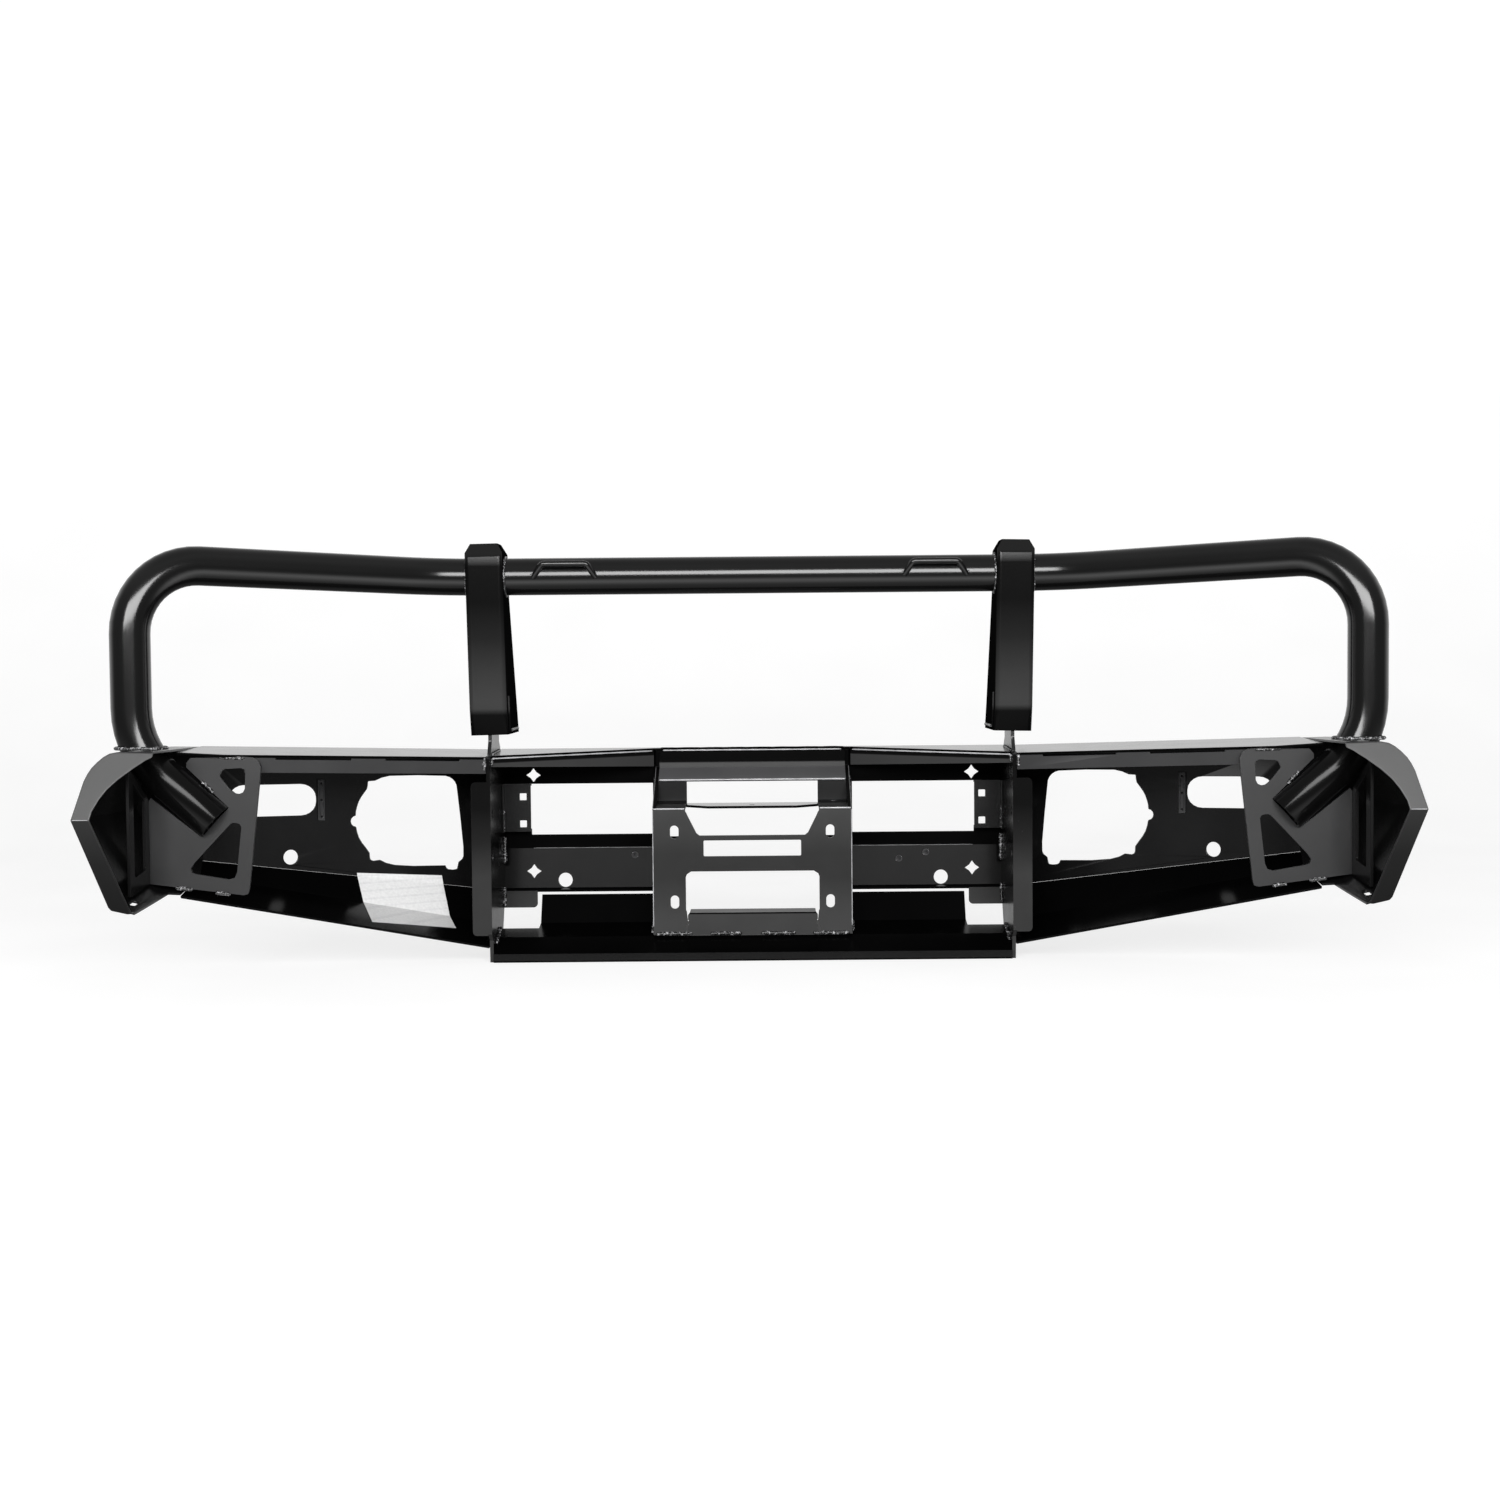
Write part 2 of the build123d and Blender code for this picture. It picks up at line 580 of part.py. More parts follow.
# ---------------------------------------------------------------- pressed wing tip
TIP_SHEET = 3.0
TIP_REAR_Y = 433.0
TIP_NOSE_Z = 264.0        # height of the outermost corner of the rear edge
# outer sections, x and z: at the front face, at the front of the floor, at the rear
TIP_FRONT = [
    (858, 356.5), (896, 358.3), (906, 358), (915, 356), (923, 351.5), (930, 345),
    (935, 337), (938.5, 328), (952, 264), (922, 196), (908, 188), (858, 176)]
TIP_MIDDLE = [
    (858, 357), (898, 359), (909, 358.6), (918, 356.6), (926.5, 352), (934, 345),
    (939.5, 336.5), (943, 327), (955, 264), (915, 163), (900, 152.5), (858, 151.5)]
TIP_REAR = [
    (858, 360.5), (912, 360.5), (923.5, 358.3), (932, 353.6), (940.5, 346.2), (948.3, 337.6),
    (953.6, 328.6), (958, 317), (971, 265), (921, 134), (892, 127), (858, 117)]
# rim on the rear edge, above and below the nose: x, z
RIM_UPPER = [
    (861, 358.6), (912.4, 360.1), (923.8, 358.0), (932.1, 353.2), (940.3, 346.1),
    (948.2, 337.4), (953.4, 328.8), (957.8, 318.4), (971.5, 264.0), (944.5, 264.0),
    (941.6, 276.5), (932.9, 292.8), (922.6, 306.8), (907.4, 321.2), (887.5, 336.2),
    (870.5, 347.6), (861, 352.2)]
RIM_LOWER = [
    (971.5, 264.0), (922.5, 137.5), (918.5, 132.8), (895, 127.5), (888.0, 128.2),
    (892.0, 134.0), (944.5, 264.0)]


def tip_rear_y(z):
    """Rear edge of the tip: it leans forward above the nose, and slightly below it."""
    lean = 0.344 if z > TIP_NOSE_Z else 0.06
    return TIP_REAR_Y - abs(z - TIP_NOSE_Z) * lean


def tip_loft(front, front_offset, middle, rear, rear_y):
    sections = [closed_wire([(x, wing_y(x) + offset, z) for x, z in points])
                for points, offset in ((front, front_offset), (middle, TIP_DROP_Y))]
    sections.append(closed_wire([(x, rear_y, z) for x, z in rear]))
    return Solid.make_loft(sections, ruled=True)


def wing_tip():
    front, middle, rear = [offset_in(s, TIP_SHEET) for s in (TIP_FRONT, TIP_MIDDLE, TIP_REAR)]
    # the hollow is carried on in line past the rear edge
    beyond_y = TIP_REAR_Y + 8
    beyond = []
    for (x0, z0), (x1, z1) in zip(middle, rear):
        y0 = wing_y(x0) + TIP_DROP_Y
        ratio = (beyond_y - y0) / (TIP_REAR_Y - y0)
        beyond.append((x0 + ratio * (x1 - x0), z0 + ratio * (z1 - z0)))
    tip = (tip_loft(TIP_FRONT, -WING_SHEET_Y, TIP_MIDDLE, TIP_REAR, TIP_REAR_Y)
           - tip_loft(front, 0.0, middle, beyond, beyond_y))
    tip = tip & box(WING_END_X, 1000, 0, 600, 0, 500)
    tip = tip - plate_x([(TIP_REAR_Y, TIP_NOSE_Z), (tip_rear_y(374), 374), (600, 374),
                         (600, 100), (tip_rear_y(100), 100)], 800, 1100)
    tip = cut(tip, tube_clearance)
    # the bottom sheet is trimmed in line with the rear edge of the wing floor
    tip = tip - plate_z([(855, 272.0), (862, 275.5), (878, 283.5), (888.3, 460), (855, 460)],
                        100, 200)
    # drain slot of three overlapping holes
    drain_x, drain_y = 901.0, 372.0
    for y in (drain_y, drain_y + 7, drain_y + 14):
        tip = cut(tip, cylinder((drain_x, y, 100), (drain_x, y, 160), 5.4))
    return tip


def wing_tip_rim():
    return fuse(*[prism([(x, tip_rear_y(z), z) for x, z in outline], (0, 4, 0))
                  for outline in (RIM_UPPER, RIM_LOWER)])


tip = biggest(wing_tip())
add_pair("wing_tip", tip)
add_pair("wing_tip_rim", wing_tip_rim())

# ---------------------------------------------------------------- gusset, stiffener, strip
# tube gusset with an open notch, and its two cut-outs: x, z
GUSSET = [
    (848, 338), (842, 345.0), (787, 345.5), (762, 346), (750, 345), (740, 340),
    (736.2, 330.5), (756.6, 146), (759, 139), (765.7, 137.1), (790.6, 140.3),
    (GUSSET_OUTER_X, 155), (GUSSET_OUTER_X, 280.6), (903.1, 285.1), (828.3, 226.1),
    (785.7, 269.6), (848.4, 330.9)]
GUSSET_UPPER_CUT = [
    (791.1, 328.0), (766, 329.2), (761, 327), (759.8, 323.2), (761.0, 298.1), (764, 292.6),
    (770.3, 290.0), (776, 291), (781.2, 295.1), (797.8, 316.0), (798, 320), (795.5, 325.5)]
GUSSET_LOWER_CUT = [
    (775.6, 246.7), (770, 245), (767.3, 240.6), (774.9, 172), (778.8, 163.5), (787.9, 161.1),
    (836.8, 169.6), (843, 172), (844.6, 178), (838.7, 186.8), (784.7, 243.9), (781, 246.4)]


def tube_gusset():
    plate = plate_y(GUSSET, GUSSET_Y, GUSSET_Y + PLATE)
    return cut(plate, plate_y(GUSSET_UPPER_CUT, 200, 300), plate_y(GUSSET_LOWER_CUT, 200, 300),
               tube_clearance, top_panel, floor_panel, rear_lip, tip)


def tip_stiffener(gusset):
    """Upright fore-and-aft plate between gusset and tip, with one large opening."""
    side = [(GUSSET_Y, 155), (374, 146), (374, 336), (GUSSET_Y, 281)]
    opening = [(297, 181.5), (300, 178.3), (348, 172.5), (352, 175.5), (352, 312), (297, 282)]
    plate = plate_x(side, GUSSET_OUTER_X, GUSSET_OUTER_X + 5) - plate_x(opening, 880, 930)
    return cut(plate, tube_clearance, gusset, tip)


def indicator_strip():
    """Strip with three small holes behind the front panel, inboard of the indicator."""
    x0, x1 = 689.5, 699.5
    mid_x = (x0 + x1) / 2
    strip = swept_plate(wing_y, [(x0, 232), (x1, 233), (x1, 299), (x0, 298)], 0, 3.2)
    return cut(strip, *[cylinder_y(mid_x, z, wing_y(mid_x) - 5, wing_y(mid_x) + 10, 1.9)
                        for z in (238.5, 265.5, 292.5)])


gusset = biggest(tube_gusset())
add_pair("tube_gusset", gusset)
add_pair("tip_stiffener", biggest(tip_stiffener(gusset)))
add_pair("indicator_strip", biggest(indicator_strip()))


# ---------------------------------------------------------------- data label
def between(start, end, share):
    return Vector(start) + (Vector(end) - Vector(start)) * share


def data_label():
    """Blank label on the inner faces of the left wing, bent over its two lower creases."""
    top = [Vector(x, wing_y(x), z) for x, z in ((518.3, 130.7), (645.3, 143.5))]
    crease = [between(CREASE_IN, CREASE_OUT, share) for share in (0.209, 0.503)]
    fold = [between(FLOOR_IN, FLOOR_OUT, share) for share in (0.176, 0.472)]
    bottom = [between(between(FLOOR_IN, FLOOR_OUT, across), between(REAR_IN, REAR_OUT, across),
                      back)
              for across, back in ((0.137, 0.471), (0.406, 0.79))]
    clearance, thickness = Vector(0, 0.06, 0.06), Vector(0, 0.35, 0.35)
    facets = []
    # each facet is kept planar by splitting it along a diagonal
    for (a0, a1), (b0, b1) in ((top, crease), (crease, fold), (fold, bottom)):
        for triangle in ((a0, b0, a1), (b0, b1, a1)):
            facets.append(prism([p + clearance for p in triangle], thickness))
    return fuse(*facets)


add_part("data_label", data_label())

# ---------------------------------------------------------------- write out
part_solids = {}
for name, shape in parts.items():
    pieces = shape if isinstance(shape, list) else [shape]
    part_solids[name] = [solid for piece in pieces for solid in piece.solids()]
boxes = [solid.bounding_box() for solids in part_solids.values() for solid in solids]
low_y, high_y = min(b.min.Y for b in boxes), max(b.max.Y for b in boxes)
shift = Location((0.0, -(low_y + high_y) / 2.0, -min(b.min.Z for b in boxes)))
for name, solids in part_solids.items():
    moved = [shift * solid for solid in solids]
    part = moved[0] if len(moved) == 1 else Compound(moved)
    part.label = name
    # guards the writing of one file, so that a failure doesn't stop the others
    try:
        export_step(part, os.path.join("parts", name + ".step"))
    except RuntimeError:
        print("not written:", name)
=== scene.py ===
# Looks, light and camera for the front grille guard: black powder-coated tube and folded sheet.
# Metres, Z up.  +Y points towards the vehicle, so front is -Y, rear is +Y and left is +X.
# Weld beads and the thin beads of painted edge highlight are laid out in the drawing's
# millimetres.
import bpy
import math
import random
from mathutils import Vector, Matrix, noise as mnoise


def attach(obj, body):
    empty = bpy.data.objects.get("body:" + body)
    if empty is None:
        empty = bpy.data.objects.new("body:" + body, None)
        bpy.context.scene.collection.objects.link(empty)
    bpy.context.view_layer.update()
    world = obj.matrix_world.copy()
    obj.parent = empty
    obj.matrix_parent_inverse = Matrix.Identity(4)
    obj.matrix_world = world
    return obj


SEED = 11
DRAWING_Y = -0.15996      # the drawing's Y = 0 (hoop tube axis) in the frame
TOP_SLOPE = 0.0245        # fall of the top sheets per unit of Y

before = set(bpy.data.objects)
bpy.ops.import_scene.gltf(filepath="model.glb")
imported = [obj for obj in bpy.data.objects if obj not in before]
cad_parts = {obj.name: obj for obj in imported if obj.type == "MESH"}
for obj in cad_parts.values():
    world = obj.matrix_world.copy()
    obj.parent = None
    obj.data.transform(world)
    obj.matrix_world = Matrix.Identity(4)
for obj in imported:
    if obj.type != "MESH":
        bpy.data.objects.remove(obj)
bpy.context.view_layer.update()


random.seed(SEED)
mnoise.seed_set(SEED)


# ------------------------------------------------------------------ shader helpers
def set_inputs(tree, node, inputs):
    """Link each input to a socket, or set it to a plain value."""
    for key, value in inputs.items():
        if isinstance(value, bpy.types.NodeSocket):
            tree.links.new(value, node.inputs[key])
        else:
            node.inputs[key].default_value = value


def add_node(tree, kind, inputs=None, **settings):
    node = tree.nodes.new("ShaderNode" + kind)
    for key, value in settings.items():
        setattr(node, key, value)
    set_inputs(tree, node, inputs or {})
    return node


def new_material(name):
    """An empty material; gives the material, its node tree and its Principled shader."""
    material = bpy.data.materials.new(name)
    material.use_nodes = True
    tree = material.node_tree
    tree.nodes.clear()
    output = add_node(tree, "OutputMaterial")
    shader = add_node(tree, "BsdfPrincipled")
    tree.links.new(shader.outputs["BSDF"], output.inputs["Surface"])
    return material, tree, shader


def grey(value):
    return (value, value, value, 1.0)


def coat_grey(value):
    """Grey with a slight blue cast."""
    return (value, value, value * 1.03, 1.0)


def object_coords(tree):
    return add_node(tree, "TexCoord").outputs["Object"]


def noise(tree, vector, scale, detail=2.0):
    inputs = {"Scale": scale, "Detail": detail, "Vector": vector}
    return add_node(tree, "TexNoise", inputs).outputs["Fac"]


def map_to(tree, source, low, high):
    """Spread a 0 to 1 value over low to high."""
    inputs = {"To Min": low, "To Max": high, "Value": source}
    return add_node(tree, "MapRange", inputs).outputs["Result"]


def colour_ramp(tree, source, stops):
    """Colour ramp; stops are (position 0 to 1, colour)."""
    node = add_node(tree, "ValToRGB")
    elements = node.color_ramp.elements
    for index, (position, colour) in ((0, stops[0]), (1, stops[-1])):
        elements[index].position = position
        elements[index].color = colour
    for position, colour in stops[1:-1]:
        elements.new(position).color = colour
    tree.links.new(source, node.inputs["Fac"])
    return node.outputs["Color"]


def value_ramp(tree, source, stops):
    """Grey ramp over a coordinate; stops are (coordinate, value up to 1)."""
    low, high = stops[0][0], stops[-1][0]
    inputs = {"From Min": low, "From Max": high, "Value": source}
    scaled = add_node(tree, "MapRange", inputs).outputs["Result"]
    return colour_ramp(tree, scaled, [((p - low) / (high - low), grey(v)) for p, v in stops])


# Sockets of the Mix node in colour mode
MIX_FACTOR, MIX_A, MIX_B, MIX_RESULT = 0, 6, 7, 2


def mix_colour(tree, factor, a, b, **settings):
    inputs = {MIX_FACTOR: factor, MIX_A: a, MIX_B: b}
    return add_node(tree, "Mix", inputs, data_type="RGBA", **settings)


# ------------------------------------------------------------------ materials
FRONT_TONE = 0.012        # least tone of the forward faces
FRONT_SPECULAR = 0.5
FRONT_STOPS = [(-0.45, 1.0), (-0.20, 0.0)]     # (normal Y, share of the forward look)
REAR_STOPS = [(0.30, 0.0), (0.60, 1.0)]        # (normal Y, share of the painted light and shade)


def paint_rear_light_and_shade(tree, geometry, normal_y, drift, colour, specular, painted_tones, painted_gloss, axis):
    """Blend painted light and shade, in tone and gloss, into the rearward faces, graded along
    axis.
    """
    along = add_node(tree, "VectorMath", {1: axis, 0: geometry.outputs["Position"]},
                     operation="DOT_PRODUCT").outputs["Value"]
    mask = value_ramp(tree, normal_y, REAR_STOPS)
    tone = value_ramp(tree, along, painted_tones)
    strength = map_to(tree, drift, low=0.86, high=1.14)
    drifted = add_node(tree, "VectorMath", {0: tone, "Scale": strength}, operation="SCALE")
    mixed = mix_colour(tree, mask, colour, drifted.outputs["Vector"])
    gloss = value_ramp(tree, along, painted_gloss)
    mixed_gloss = mix_colour(tree, mask, grey(specular), gloss)
    return mixed.outputs[MIX_RESULT], mixed_gloss.outputs[MIX_RESULT]


def powder_coat(name, tones, rough, offset, specular=0.5,
                painted_tones=None, painted_gloss=None, axis=(0.0, 0.0, 1.0)):
    """Black powder coat: faint tone drift, varying gloss and a fine orange-peel surface.
    tones and rough are (low, high), offset shifts the texture.  The two optional ramps after
    specular paint light and shade on the rearward faces, tone then gloss, as (metres along
    axis, value)."""
    material, tree, shader = new_material(name)
    coords = add_node(tree, "Mapping", {
        "Vector": object_coords(tree),
        "Location": (offset, offset * 0.7, offset * 0.3)}).outputs["Vector"]
    drift = noise(tree, coords, scale=7.0, detail=4.0)
    dark, light = tones
    colour = colour_ramp(tree, drift, [(0.3, coat_grey(dark)), (0.7, coat_grey(light))])
    geometry = add_node(tree, "NewGeometry")
    normal = add_node(tree, "SeparateXYZ", {"Vector": geometry.outputs["True Normal"]})
    normal_y = normal.outputs["Y"]
    ahead = value_ramp(tree, normal_y, FRONT_STOPS)
    gloss = None
    # Rearward faces get painted light and shade: lit and shaded bands and bright fold lines
    # graded along the height
    if painted_tones:
        colour, gloss = paint_rear_light_and_shade(tree, geometry, normal_y, drift, colour, specular,
                                  painted_tones, painted_gloss, axis)
    # Forward faces are evenly satin
    base = mix_colour(tree, ahead, colour, coat_grey(max(FRONT_TONE, dark)))
    shine = mix_colour(tree, ahead, grey(specular), grey(FRONT_SPECULAR))
    if gloss:
        tree.links.new(gloss, shine.inputs[MIX_A])
    patches = noise(tree, coords, scale=22.0, detail=6.0)
    roughness = map_to(tree, patches, *rough)
    peel = noise(tree, coords, scale=520.0)
    waviness = noise(tree, coords, scale=9.0)
    fine = add_node(tree, "Bump", {"Strength": 0.06, "Distance": 0.0004, "Height": peel})
    broad = add_node(tree, "Bump", {"Strength": 0.12, "Distance": 0.0012, "Height": waviness,
                                    "Normal": fine.outputs["Normal"]})
    set_inputs(tree, shader, {
        "Base Color": base.outputs[MIX_RESULT],
        "Specular IOR Level": shine.outputs[MIX_RESULT],
        "Roughness": roughness,
        "Normal": broad.outputs["Normal"],
        "IOR": 1.5})
    return material


def weld_metal(name):
    """Coated weld bead: dark coat with many small bright glints painted into its colour on the
    ripples.
    """
    material, tree, shader = new_material(name)
    grain = noise(tree, object_coords(tree), scale=230.0, detail=3.0)
    # Bright patches in the base colour are painted glints
    painted_glints = [(0.42, coat_grey(0.006)), (0.56, coat_grey(0.05)), (0.66, coat_grey(0.45))]
    set_inputs(tree, shader, {
        "Base Color": colour_ramp(tree, grain, painted_glints),
        "Roughness": map_to(tree, grain, low=0.12, high=0.30),
        "Specular IOR Level": 0.9})
    return material


def plated_steel(name, tone=0.05):
    material, tree, shader = new_material(name)
    grain = noise(tree, object_coords(tree), scale=160.0, detail=5.0)
    tones = [(0.3, coat_grey(tone * 0.7)), (0.7, coat_grey(tone * 1.2))]
    set_inputs(tree, shader, {
        "Base Color": colour_ramp(tree, grain, tones),
        "Roughness": map_to(tree, grain, low=0.3, high=0.45),
        "Metallic": 0.9})
    return material


def label_film(name):
    """White film with a faint fibre texture and pale blank rules; no lettering."""
    material, tree, shader = new_material(name)
    coords = object_coords(tree)
    fibre = noise(tree, coords, scale=240.0, detail=5.0)
    film = colour_ramp(tree, fibre, [(0.35, grey(0.70)), (0.65, grey(0.78))])
    bands = add_node(tree, "TexWave", {"Scale": 26.0, "Distortion": 0.0, "Vector": coords},
                     wave_type="BANDS", bands_direction="Z").outputs["Fac"]
    rules = colour_ramp(tree, bands, [(0.80, grey(1.0)), (0.95, (0.90, 0.90, 0.905, 1))])
    ruled = mix_colour(tree, 0.8, film, rules, blend_type="MULTIPLY")
    set_inputs(tree, shader, {"Base Color": ruled.outputs[MIX_RESULT], "Roughness": 0.55})
    return material


# Powder coats by material name, as arguments of powder_coat. Every piece wears the same black
# coat; its tone per piece is painted light and shade: recessed or overhung pieces (web skins,
# undersides, wing panels, ribs, ears) painted darker, plates facing the key (gussets, lips,
# cradle, tabs) painted lighter, the inclined rail painted lightest as its reflection.
# Ramps along the height paint light and shade on rearward faces: uprights lit in a band just
# above their bend and shaded dark above and below it, rib flanges lit low and shaded dark
# higher up, cradle lit at bottom and top, band, lower plate and middle lips lit below a line
# and shaded dark above it, tip rims lit above their fold, shaded rear edges on the top sheets
# and dimmer gloss on the low tube.
COATS = {
    "coat_tube": dict(
        tones=(0.0030, 0.0050), rough=(0.13, 0.19), offset=1.0,
        painted_tones=[(0.24, 0.003), (0.33, 0.003), (0.36, 0.004), (0.70, 0.004)],
        painted_gloss=[(0.24, 0.16), (0.325, 0.20), (0.36, 0.5), (0.70, 0.5)]),
    "coat_uprights": dict(
        tones=(0.003, 0.004), rough=(0.22, 0.30), offset=2.0, specular=0.0,
        painted_tones=[(0.30, 0.002), (0.400, 0.003), (0.410, 0.033), (0.46, 0.025),
              (0.52, 0.012), (0.58, 0.0045), (0.68, 0.003)],
        painted_gloss=[(0.30, 0.02), (0.40, 0.04), (0.42, 0.12), (0.52, 0.02),
                       (0.58, 0.01), (0.64, 0.02), (0.66, 0.5), (0.68, 0.5)]),
    "coat_tabs": dict(tones=(0.008, 0.012), rough=(0.24, 0.30), offset=2.5),
    "coat_skins": dict(tones=(0.0012, 0.0022), rough=(0.15, 0.22), offset=3.0, specular=0.03),
    "coat_wings": dict(tones=(0.0040, 0.0065), rough=(0.20, 0.27), offset=4.0),
    "coat_strips": dict(tones=(0.030, 0.040), rough=(0.25, 0.32), offset=4.2),
    "coat_undersides": dict(
        tones=(0.0010, 0.0016), rough=(0.15, 0.22), offset=4.5, specular=0.04),
    "coat_tips": dict(tones=(0.004, 0.007), rough=(0.20, 0.28), offset=5.0, specular=0.3),
    "coat_tip_rims": dict(
        tones=(0.008, 0.012), rough=(0.28, 0.36), offset=5.5,
        painted_tones=[(0.12, 0.006), (0.20, 0.009), (0.262, 0.020), (0.266, 0.046), (0.36, 0.052)],
        painted_gloss=[(0.12, 0.12), (0.262, 0.18), (0.266, 0.5), (0.36, 0.5)]),
    "coat_gussets": dict(tones=(0.014, 0.018), rough=(0.34, 0.42), offset=6.0),
    "coat_ribs": dict(
        tones=(0.0012, 0.0022), rough=(0.22, 0.30), offset=7.0, specular=0.06,
        painted_tones=[(0.04, 0.020), (0.14, 0.022), (0.19, 0.010), (0.25, 0.004), (0.34, 0.003)],
        painted_gloss=[(0.04, 0.5), (0.14, 0.45), (0.20, 0.15), (0.25, 0.05), (0.34, 0.05)]),
    "coat_cradle": dict(
        tones=(0.010, 0.016), rough=(0.32, 0.42), offset=8.0,
        painted_tones=[(0.03, 0.020), (0.0745, 0.018), (0.13, 0.009), (0.17, 0.008),
              (0.20, 0.012), (0.25, 0.016)],
        painted_gloss=[(0.03, 0.5), (0.08, 0.42), (0.13, 0.30), (0.17, 0.30), (0.25, 0.40)]),
    "coat_lower_plate": dict(
        tones=(0.006, 0.009), rough=(0.32, 0.42), offset=8.1, specular=0.10,
        painted_tones=[(0.03, 0.020), (0.0712, 0.019), (0.0719, 0.0012), (0.075, 0.0012)],
        painted_gloss=[(0.03, 0.42), (0.0712, 0.40), (0.0719, 0.03), (0.075, 0.03)]),
    "coat_rail": dict(tones=(0.07, 0.09), rough=(0.28, 0.36), offset=8.2),
    "coat_ears": dict(tones=(0.004, 0.007), rough=(0.28, 0.36), offset=8.3, specular=0.2),
    "coat_band": dict(
        tones=(0.002, 0.003), rough=(0.28, 0.36), offset=8.4, specular=0.05,
        painted_tones=[(0.300, 0.028), (0.3125, 0.028), (0.3150, 0.0012), (0.340, 0.0012)],
        painted_gloss=[(0.300, 0.5), (0.3125, 0.5), (0.3150, 0.03), (0.340, 0.03)]),
    "coat_lips": dict(tones=(0.024, 0.032), rough=(0.32, 0.42), offset=8.5),
    "coat_middle_lips": dict(
        tones=(0.024, 0.032), rough=(0.32, 0.42), offset=8.6, axis=(0.0, TOP_SLOPE, 1.0),
        painted_tones=[(0.290, 0.028), (0.3195, 0.026), (0.3210, 0.002), (0.3300, 0.002)],
        painted_gloss=[(0.290, 0.5), (0.3195, 0.5), (0.3210, 0.08), (0.3300, 0.08)]),
    "coat_top_sheets": dict(
        tones=(0.0040, 0.0060), rough=(0.14, 0.20), offset=8.7,
        painted_tones=[(0.32, 0.0015), (0.37, 0.0015)], painted_gloss=[(0.32, 0.02), (0.37, 0.02)]),
}
materials = {name: powder_coat(name, **coat) for name, coat in COATS.items()}
WELD = weld_metal("weld_beads")
materials["plated_steel"] = plated_steel("plated_steel")
# Light grey glossy coats for beads painted as highlight lines along edges
EDGE_HIGHLIGHT = powder_coat("painted_edge_highlights", tones=(0.30, 0.50), rough=(0.12, 0.22), offset=9.5,
                   specular=0.9)
EDGE_HIGHLIGHT_DIM = powder_coat("painted_edge_highlights_dim", tones=(0.07, 0.12), rough=(0.15, 0.25), offset=9.7,
                       specular=0.7)
materials["label_film"] = label_film("label_film")

# ------------------------------------------------------------------ dressing the pieces
# Materials for whole piece names, tried first
PIECE_MATERIAL = {
    "data_label": "label_film",
    "threaded_inserts": "plated_steel",
    "centre_top_panel": "coat_top_sheets",
    "winch_shelf": "coat_top_sheets",
    "winch_top_lip": "coat_band",
    "winch_lower_plate": "coat_lower_plate",
    "winch_top_rail": "coat_rail",
    "lower_tray": "coat_undersides",
}
# Materials by the start of the name; the first match counts
PREFIX_MATERIAL = (
    (("hoop", "tie_loop"), "coat_tube"),
    ("upright_tab", "coat_tabs"),
    ("upright", "coat_uprights"),
    ("tube_gusset", "coat_gussets"),
    ("wing_tip_rim", "coat_tip_rims"),
    (("wing_tip", "tip_stiff"), "coat_tips"),
    ("wing_top", "coat_top_sheets"),
    ("centre_rear_lip", "coat_middle_lips"),
    ("wing_rear_lip", "coat_lips"),
    ("winch_ear", "coat_ears"),
    (("wing_floor", "wing_lower"), "coat_undersides"),
    ("indicator", "coat_strips"),
    (("wing", "grille_bracket"), "coat_wings"),
    ("chassis", "coat_ribs"),
    ("winch_side", "coat_skins"),
    (("winch", "corner_tab"), "coat_cradle"),
)
BROAD_EDGED = ("centre_top_panel", "wing_top_panel_left", "wing_top_panel_right",
               "winch_ear_left", "winch_ear_right", "wing_tip_rim_left", "wing_tip_rim_right",
               "winch_top_rail", "winch_shelf")
SHARP_EDGED = ("data_label", "winch_mount_plate", "winch_lower_plate", "centre_front_web")
BROAD_EDGE = (0.0016, 3)  # bevel width, segments
FINE_EDGE = (0.0009, 2)


def material_for(name):
    if name in PIECE_MATERIAL:
        return materials[PIECE_MATERIAL[name]]
    for prefix, material_name in PREFIX_MATERIAL:
        if name.startswith(prefix):
            return materials[material_name]
    return materials["coat_skins"]


def paint(piece, material):
    if not piece.material_slots:
        piece.data.materials.append(material)
    for slot in piece.material_slots:
        slot.material = material


def round_edges(piece, width, segments):
    weld = piece.modifiers.new("weld", "WELD")
    weld.merge_threshold = 0.00002
    bevel = piece.modifiers.new("edge", "BEVEL")
    bevel.width = width
    bevel.segments = segments
    bevel.limit_method = "ANGLE"
    bevel.angle_limit = math.radians(32)
    bevel.harden_normals = True
    bevel.use_clamp_overlap = True


for name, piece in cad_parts.items():
    paint(piece, material_for(name))
    if name not in SHARP_EDGED:
        round_edges(piece, *(BROAD_EDGE if name in BROAD_EDGED else FINE_EDGE))

# ------------------------------------------------------------------ beads
BEAD_STEP = 0.0006        # spacing of the rings of vertices along a bead
RIPPLE_BASE = 0.80        # bead radius in the valleys, as a share of the nominal radius
RIPPLE_HEIGHT = 0.24      # what each ripple adds
RIPPLE_NOISE = 0.10       # uneven part
NOISE_SCALE = 300.0       # noise cells per metre
END_FLOOR = 0.06          # squared share of the radius left at the rounded ends


def from_drawing(x, y, z):
    """Drawing millimetres to frame metres."""
    return Vector((x / 1000.0, y / 1000.0 + DRAWING_Y, z / 1000.0))


def new_object(name, vertices, faces, material, update=False):
    """A smooth-shaded mesh object with one material."""
    mesh = bpy.data.meshes.new(name)
    mesh.from_pydata(vertices, [], faces)
    if update:
        mesh.update()
    mesh.polygons.foreach_set("use_smooth", [True] * len(mesh.polygons))
    made = bpy.data.objects.new(name, mesh)
    bpy.context.scene.collection.objects.link(made)
    mesh.materials.append(material)
    return made


def resample(points):
    """Points about one BEAD_STEP apart along a polyline."""
    path = [points[0]]
    for start, end in zip(points[:-1], points[1:]):
        steps = max(1, int((end - start).length / BEAD_STEP))
        for i in range(1, steps + 1):
            path.append(start.lerp(end, i / steps))
    return path


